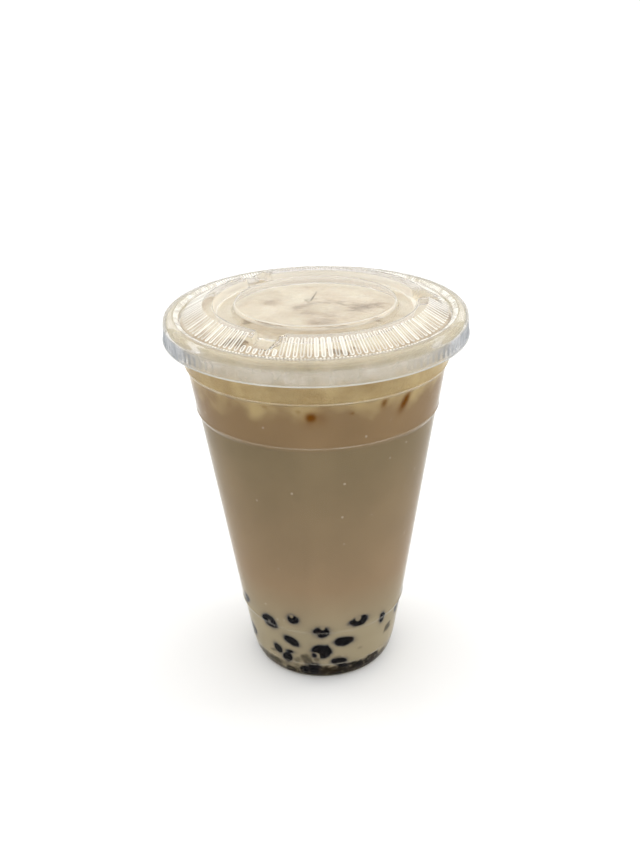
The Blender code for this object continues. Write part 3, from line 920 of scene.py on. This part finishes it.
def make_straw_slit():
    """The cuts for the straw: fine raised lips on the disc.

    A lip's width and height fall as the root of 1 - t * t from its middle to its ends, and its top is round.
    """
    along = np.linspace(-1.0, 1.0, 41)
    across = np.linspace(-1.0, 1.0, 9)
    t, u = np.meshgrid(along, across, indexing="ij")
    swell = np.sqrt(np.clip(1.0 - t**2, 0.0, 1.0))
    round_top = np.sqrt(np.clip(1.0 - u**2, 0.0, 1.0))
    places, faces = [], []
    for n, (x0, y0, x1, y1, wide) in enumerate(SLITS):
        run = np.array([x1 - x0, y1 - y0])
        side = 0.5 * wide * swell * u / np.hypot(*run)
        x = 0.5 * (x0 + x1 + run[0] * t) - run[1] * side
        y = 0.5 * (y0 + y1 + run[1] * t) + run[0] * side
        z = LID_TOP / MM - 0.03 + 0.13 * swell * round_top
        places.append(np.stack([x, y, z], axis=-1).reshape(-1, 3) * MM)
        faces.append(grid_faces(*t.shape) + n * t.size)
    piece = mesh_of("straw_slit", np.concatenate(places), faces)
    return dress(piece, cut_edge(), "clear_plastic")


def pearl_list():
    """Patches of all touching pearls: those placed in front, then rows round the back, seeded."""
    rows = list(TOUCHING)
    draw = np.random.default_rng(7)
    for row, height in enumerate((5.4, 12.6, 19.8, 26.6)):
        for i in range(9):
            angle = math.degrees(-0.45 + (i + 0.5 * (row % 2)) * 0.46 + 0.1 * draw.uniform(-1, 1))
            wide, tall = draw.uniform(3.0, 6.2), draw.uniform(2.6, 4.6)
            right, up, caught, thin = draw.uniform(-1.8, 1.8, 4)
            lift = height + draw.uniform(-1.2, 1.2)
            tilt = draw.uniform(-40, 40)
            if -24 < angle < 211:
                bites = ((right, up, abs(caught), 0.1 + 0.25 * abs(thin)),)
                rows.append((angle, lift, wide, tall, tilt, bites))
    return rows


def patch_distance(angles, heights, row):
    """How far points of the wall lie from a patch's middle, 1 at its edge, and their mm right and up."""
    angle, height, wide, tall, tilt = row[:5]
    reach = inner_radius(height * MM)
    right = turned_from(angles, math.radians(angle)) * reach / MM
    up = heights / MM - height
    c, s = math.cos(math.radians(tilt)), math.sin(math.radians(tilt))
    return np.hypot(2.0 * (c * right + s * up) / wide, 2.0 * (c * up - s * right) / tall), right, up


def touch_and_veil(angles, heights):
    """Where pearls touch the wall (1) and how thin the milk is over them elsewhere.

    Touching is 1 inside a patch with a ragged edge and 0 in the milk caught there. The milk thins
    as exp(-distance / 0.7 mm) towards a patch, and has its own thinness where it is caught.
    """
    touch, veil = np.zeros(len(angles)), np.zeros(len(angles))
    wall = unrolled(angles, heights, LOW_WALL)
    ragged = 0.13 * lumps(wall, 3.0 * MM, 31)
    for row in pearl_list():
        away, right, up = patch_distance(angles, heights, row)
        size = 0.25 * (row[2] + row[3])
        away = away + ragged
        here = 1.0 - smooth_step(0.93, 1.07, away)
        thin = np.exp(-np.maximum(away - 1.0, 0.0) * size / 0.7) * (away < 4.0)
        for bite_right, bite_up, bite, thinness in row[5]:
            inside = 1.0 - smooth_step(-0.2, 0.2, np.hypot(right - bite_right, up - bite_up) - bite)
            here = here * (1.0 - inside)
            thin = thin * (1.0 - inside * (1.0 - thinness))
        touch = np.maximum(touch, here)
        veil = np.maximum(veil, thin)
    return touch, veil


def sunk_pearls_and_floor_shade(angles, heights):
    """How strongly pearls behind the milk show as soft patches, with a painted shade towards the floor."""
    shade = np.zeros(len(angles))
    wall = unrolled(angles, heights, LOW_WALL)
    ragged = 0.25 * lumps(wall, 4.0 * MM, 37) + 0.2 * lumps(wall, 1.8 * MM, 67, 2)
    draw = np.random.default_rng(19)
    rows = list(SUNK)
    for angle in np.arange(330.0, 575.0, 9.0):
        tall = draw.uniform(2.6, 4.6)
        rows.append((angle, draw.uniform(2.0, 5.0), draw.uniform(3.5, 7.0), tall, 0, draw.uniform(0.4, 0.9)))
    for row in rows:
        away, _, _ = patch_distance(angles, heights, row)
        shade = np.maximum(shade, row[5] * (1.0 - smooth_step(0.6, 1.35, away + ragged)))
    # Painted shade: the milk darkens towards the floor, with a ragged upper edge
    low = heights + 2.2 * MM * lumps(wall, 7.0 * MM, 61)
    shade = np.maximum(shade, 0.74 * (1.0 - smooth_step(2.4 * MM, 6.6 * MM, low)))
    thin = 1.0 - 0.08 * smooth_step(0.1, 0.7, lumps(wall, 4.0 * MM, 53))
    thin -= 0.32 * smooth_step(0.35, 0.85, lumps(wall, 2.4 * MM, 59, 2))
    return np.minimum(shade, 1.0) * thin


def make_tea(drink):
    """The drink's side just inside the wall, with its top under the froth and its bottom on the floor.

    Over a pearl the side is pressed in, so that the pearl's flat face shows. The veil is how thin the
    milk is between wall and pearl, the syrup is a soft bell round each drop, sunk pearls darken the
    milk from behind, a painted shade darkens it towards the floor, and cream rises in clouds under the
    froth.
    """
    heights = np.concatenate([np.arange(*row) for row in TEA_ROWS] + [[FROTH_Z / MM]])[::-1] * MM
    angles = circle(DRINK_STEPS)
    a = np.tile(angles, len(heights))
    z = np.repeat(heights, DRINK_STEPS)
    touch, veil = touch_and_veil(a, z)
    radius = inner_radius(z) + TEA_REACH - 0.5 * MM * touch
    sunk = sunk_pearls_and_floor_shade(a, z)
    syrup = np.zeros(len(a))
    for row in SYRUP:
        away, _, _ = patch_distance(a, z, row)
        syrup = np.maximum(syrup, row[5] * np.exp(-(away**2) * 0.8))
    reach = FROTH_Z - 6.5 * MM + 5.0 * MM * lumps(unrolled(a, z, HIGH_WALL), 12.0 * MM, 41)
    cream = 0.85 * smooth_step(reach - 1.0 * MM, reach + 11.0 * MM, z)
    side = ring(radius, z, a).reshape(len(heights), DRINK_STEPS, 3)
    top = turned([(r, heights[0]) for r in np.linspace(0.0, side_radius(heights[0]), 6)[:-1]], angles)
    heel, floor = WALL - FLOOR_REACH, FLOOR_Z - FLOOR_REACH
    low = ((FOOT_R - WALL, heel), (FOOT_INNER_R - 0.5 * WALL, heel), (RECESS_R - 0.5 * WALL, floor))
    under = turned([*low, (0.6 * RECESS_R, floor), (0.0, floor)], angles)
    piece = skin("milk_tea", top + list(side) + under)
    ends = [sum(len(each) for each in part) for part in (top, under)]
    veil = veil * (1.0 - 0.8 * sunk)
    layers = {"veil": veil, "syrup": np.minimum(syrup, 1.0), "sunk": sunk, "cream": cream}
    for name, values in layers.items():
        keep_values(piece, name, np.pad(values, ends))
    return dress(piece, brewed_milk_tea(drink), "milk_tea", "tea")


def side_radius(height):
    return inner_radius(height) + TEA_REACH


def froth_level(radius):
    """Height of the froth under the lid at a radius, from the middle out to the wall."""
    return np.interp(radius / MM, FROTH_RADII, FROTH_HEIGHTS) * MM


def froth_marks(points):
    """Wetter and drier places on the froth's top, as soft patches with ragged edges."""
    total = np.zeros(len(points))
    ragged = 0.5 * lumps(points, 2.6 * MM, 43, 4)
    for angle, radius, wide, deep, wetness in FROTH_MARKS:
        middle = np.array([math.cos(math.radians(angle)), math.sin(math.radians(angle))])
        out = points[:, :2] @ middle - radius * MM
        side = points[:, :2] @ (-middle[1], middle[0])
        away = np.hypot(2.0 * side / (wide * MM), 2.0 * out / (deep * MM)) + ragged
        total += wetness * (1.0 - smooth_step(0.5, 1.5, away))
    return total


def froth_side(points):
    """How wet the froth looks through the wall: soaked above the tea (1), creamy under the lid."""
    height = points[:, 2] + 1.2 * MM * lumps(points, 8.0 * MM, 47)
    return 1.0 - smooth_step(SOAKED_Z, CREAMY_Z, height)


def make_froth(drink):
    """A lumpy top that follows the lid, and a side just inside the wall down to the tea."""
    top_r = np.linspace(0.0, FROTH_EDGE_R, 76)
    heights = np.linspace(FROTH_EDGE_Z, FROTH_Z - 0.2 * MM, 40)
    top = np.stack([top_r, froth_level(top_r)], axis=-1)
    side = np.stack([side_radius(heights), heights], axis=-1)
    line = np.concatenate([top, side, [[30.0 * MM, heights[-1]], [0.0, heights[-1]]]])
    rings = turned(line, circle(FROTH_STEPS))
    points = np.concatenate(rings)
    r = np.hypot(points[:, 0], points[:, 1])
    on_top = (points[:, 2] > froth_level(r) - 0.02 * MM) & (r < FROTH_EDGE_R + 0.1 * MM)
    bumps = 0.28 * MM * lumps(points, 11.0 * MM, 5) + 0.10 * MM * lumps(points, 3.0 * MM, 6)
    points[:, 2] += np.where(on_top, np.clip(bumps, -0.5 * MM, 0.32 * MM), 0.0)
    sizes = np.cumsum([len(each) for each in rings])[:-1]
    piece = skin("milk_froth", np.split(points, sizes))
    under_ribs = 0.25 * smooth_step(RIDGE_OUT_R, RIDGE_OUT_R + 1.5 * MM, r)
    under_ridge = -0.12 * smooth_step(DISC_R, DISC_R + 1.5 * MM, r) * (r < RIDGE_OUT_R)
    wet = 0.14 * lumps(points, 14.0 * MM, 8) + 1.5 * froth_marks(points) + under_ribs + under_ridge
    keep_values(piece, "wet", np.where(on_top, wet, 0.0))
    keep_values(piece, "side", ~on_top)
    keep_values(piece, "wall", np.where(on_top, 0.0, froth_side(points)))
    return dress(piece, whipped_froth(drink), "froth", "froth")


def make_pearls(drink):
    """Tapioca pearls as slightly squashed balls, flattened where they press on the wall.

    A unit ball on a grid of angles is stretched by each pearl's half sizes, turned to the wall's
    direction and cut back to just inside the wall.
    """
    down = np.linspace(0.0, math.pi, 17)
    rings = turned(zip(np.sin(down), np.cos(down)), circle(28))
    ball, unit = np.concatenate(rings), faces_of(rings)
    places, faces = [], []
    for n, row in enumerate(pearl_list()):
        angle = math.radians(row[0])
        height, wide, tall = row[1] * MM, row[2] * MM, row[3] * MM
        size = PEARL_R * (1.0 + 0.05 * math.sin(7.3 * n))
        half_wide = max(size, 0.56 * wide / math.sqrt(1.0 - PEARL_FLAT**2))
        half_tall = max(size * 0.95, 0.56 * tall / math.sqrt(1.0 - PEARL_FLAT**2))
        centre_z = max(height, FLOOR_Z + half_tall + 0.1 * MM)
        x, y, z = (ball * (size, half_wide, half_tall)).T
        x = x + inner_radius(height) + PEARL_REACH - PEARL_FLAT * size
        c, s = math.cos(angle), math.sin(angle)
        points = np.stack([c * x - s * y, s * x + c * y, z + centre_z], axis=-1)
        points[:, :2] += 0.12 * MM * lumps(points, 5.0 * MM, n)[:, None] * (c, s)
        limit = inner_radius(np.maximum(points[:, 2], 1.0 * MM)) + PEARL_REACH
        r = np.hypot(points[:, 0], points[:, 1])
        points[:, :2] *= np.minimum(1.0, limit / r)[:, None]
        faces += [part + n * len(ball) for part in unit]
        places.append(points)
    piece = mesh_of("tapioca_pearls", np.concatenate(places), faces)
    return dress(piece, cooked_tapioca(drink), "tapioca", "pearls")


class DRINK_OT_cup(bpy.types.Operator):
    """Model the clear cup"""

    bl_idname = "drink.cup"
    bl_label = "Cup"

    def execute(self, context):
        make_cup(context.scene.cup_settings)
        return {"FINISHED"}


class DRINK_OT_lid(bpy.types.Operator):
    """Model the clear lid with its ribs"""

    bl_idname = "drink.lid"
    bl_label = "Lid"

    def execute(self, context):
        make_lid(context.scene.cup_settings)
        make_straw_slit()
        return {"FINISHED"}


class DRINK_OT_tea(bpy.types.Operator):
    """Model the milk tea"""

    bl_idname = "drink.tea"
    bl_label = "Milk tea"

    def execute(self, context):
        make_tea(context.scene.drink_settings)
        return {"FINISHED"}


class DRINK_OT_froth(bpy.types.Operator):
    """Model the froth under the lid"""

    bl_idname = "drink.froth"
    bl_label = "Froth"

    def execute(self, context):
        make_froth(context.scene.drink_settings)
        return {"FINISHED"}


class DRINK_OT_pearls(bpy.types.Operator):
    """Model the tapioca pearls"""

    bl_idname = "drink.pearls"
    bl_label = "Tapioca pearls"

    def execute(self, context):
        make_pearls(context.scene.drink_settings)
        return {"FINISHED"}


def area_light(name, radiance, size, place):
    """A rectangular lamp of the given radiance (W per square metre and steradian), aimed at the cup."""
    lamp = bpy.data.lights.new(name, "AREA")
    lamp.energy = radiance * math.pi * size[0] * size[1]
    lamp.shape = "RECTANGLE"
    lamp.size, lamp.size_y = size
    made = bpy.data.objects.new(name, lamp)
    made.location = place
    made.rotation_euler = (Vector((0.0, 0.0, LID_TOP)) - Vector(place)).to_track_quat("-Z", "Y").to_euler()
    bpy.context.scene.collection.objects.link(made)


# Ceiling lamps: name, radiance, size and place in metres
LAMPS = (
    ("tube_left", 6.0, (0.05, 0.45), (-0.12, 0.28, 1.35)),
    ("tube_right", 6.0, (0.05, 0.45), (0.14, 0.28, 1.35)),
    ("panel_left", 1.9, (0.3, 0.5), (-0.75, 0.2, 1.1)),
    ("panel_right", 2.3, (0.3, 0.5), (0.75, 0.15, 1.1)),
)

# The room's light: everywhere, more at both sides, and more to the right, the back and up
ROOM_BASE, ROOM_SIDES, ROOM_TILT = 0.72, 0.8, (0.09, 0.2, 0.5)


def room_light(strength):
    """A soft white room: its light grows with height, towards both sides and towards the back."""
    world = bpy.data.worlds.new("soft_room")
    world.use_nodes = True
    world.node_tree.nodes.clear()
    add = partial(node, world.node_tree)
    way = add("TexCoord").outputs["Generated"]
    x = add("SeparateXYZ", None, way).outputs["X"]
    tilt = add("VectorMath", "DOT_PRODUCT", way, ROOM_TILT).outputs["Value"]
    sides = add("Math", "MULTIPLY", x, x)
    total = add("Math", "MULTIPLY_ADD", sides, ROOM_SIDES, tilt)
    power = add("Math", "MULTIPLY_ADD", total, strength, ROOM_BASE * strength)
    back = add("Background", {"Color": linear("#FEFEFE")}, Strength=power)
    add("OutputWorld", None, back)
    bpy.context.scene.world = world


def make_floor(colour):
    """A level square far wider than the view."""
    side = np.linspace(-12.0, 12.0, 9)
    x, y = np.meshgrid(side, side, indexing="ij")
    points = np.stack([x.ravel(), y.ravel(), np.full(81, -0.05 * MM)], axis=-1)
    piece = mesh_of("floor", points, [grid_faces(9, 9)])
    piece.data.materials.append(matte_floor(colour))


# The photograph's camera, from the cup's edges and rings: how far off, how high, which way it looks
CAMERA_AWAY, CAMERA_HEIGHT = 339.2 * MM, 247.9 * MM
CAMERA_PITCH = math.radians(24.91)
CAMERA_ROLL = math.radians(-1.43)
CAMERA_YAW = math.radians(-0.09)
FOCAL_PIXELS, PICTURE_HEIGHT = 1053.7, 853.0


def make_camera():
    data = bpy.data.cameras.new("camera")
    data.sensor_width = 36.0
    data.lens = FOCAL_PIXELS / PICTURE_HEIGHT * data.sensor_width
    data.clip_start = 0.01
    made = bpy.data.objects.new("camera", data)
    turn = Matrix.Rotation(CAMERA_YAW, 4, "Z") @ Matrix.Rotation(0.5 * math.pi - CAMERA_PITCH, 4, "X")
    turn = turn @ Matrix.Rotation(CAMERA_ROLL, 4, "Z")
    made.matrix_world = Matrix.Translation((0.0, -CAMERA_AWAY, CAMERA_HEIGHT)) @ turn
    bpy.context.scene.collection.objects.link(made)
    bpy.context.scene.camera = made


class DRINK_OT_stage(bpy.types.Operator):
    """Add the floor, the light and the camera"""

    bl_idname = "drink.stage"
    bl_label = "Stage"

    def execute(self, context):
        stage = context.scene.stage_settings
        make_floor(tuple(stage.floor))
        room_light(stage.room)
        for name, radiance, size, place in LAMPS:
            area_light(name, radiance * stage.lamps, size, place)
        make_camera()
        context.scene.view_settings.view_transform = "Standard"
        return {"FINISHED"}


class DRINK_PT_panel(bpy.types.Panel):
    """Lists the drink's pieces and their settings"""

    bl_idname = "DRINK_PT_panel"
    bl_label = "Bubble Tea"
    bl_space_type = "VIEW_3D"
    bl_region_type = "UI"
    bl_category = "Bubble Tea"

    def draw(self, context):
        layout = self.layout
        for group, kind in SETTINGS.items():
            settings = getattr(context.scene, group)
            box = layout.box()
            for name in kind.__annotations__:
                box.prop(settings, name)
        for operator in OPERATORS:
            layout.operator(operator.bl_idname)


SETTINGS = {"cup_settings": CupSettings, "drink_settings": DrinkSettings, "stage_settings": StageSettings}
OPERATORS = (DRINK_OT_cup, DRINK_OT_lid, DRINK_OT_tea, DRINK_OT_froth, DRINK_OT_pearls, DRINK_OT_stage)


def register():
    for kind in (*SETTINGS.values(), *OPERATORS, DRINK_PT_panel):
        bpy.utils.register_class(kind)
    for name, kind in SETTINGS.items():
        setattr(bpy.types.Scene, name, PointerProperty(type=kind))


def unregister():
    for name in SETTINGS:
        delattr(bpy.types.Scene, name)
    for kind in reversed((*SETTINGS.values(), *OPERATORS, DRINK_PT_panel)):
        bpy.utils.unregister_class(kind)


def main():
    register()
    bpy.ops.drink.cup()
    bpy.ops.drink.lid()
    bpy.ops.drink.tea()
    bpy.ops.drink.froth()
    bpy.ops.drink.pearls()
    bpy.ops.drink.stage()


if __name__ == "__main__":
    main()
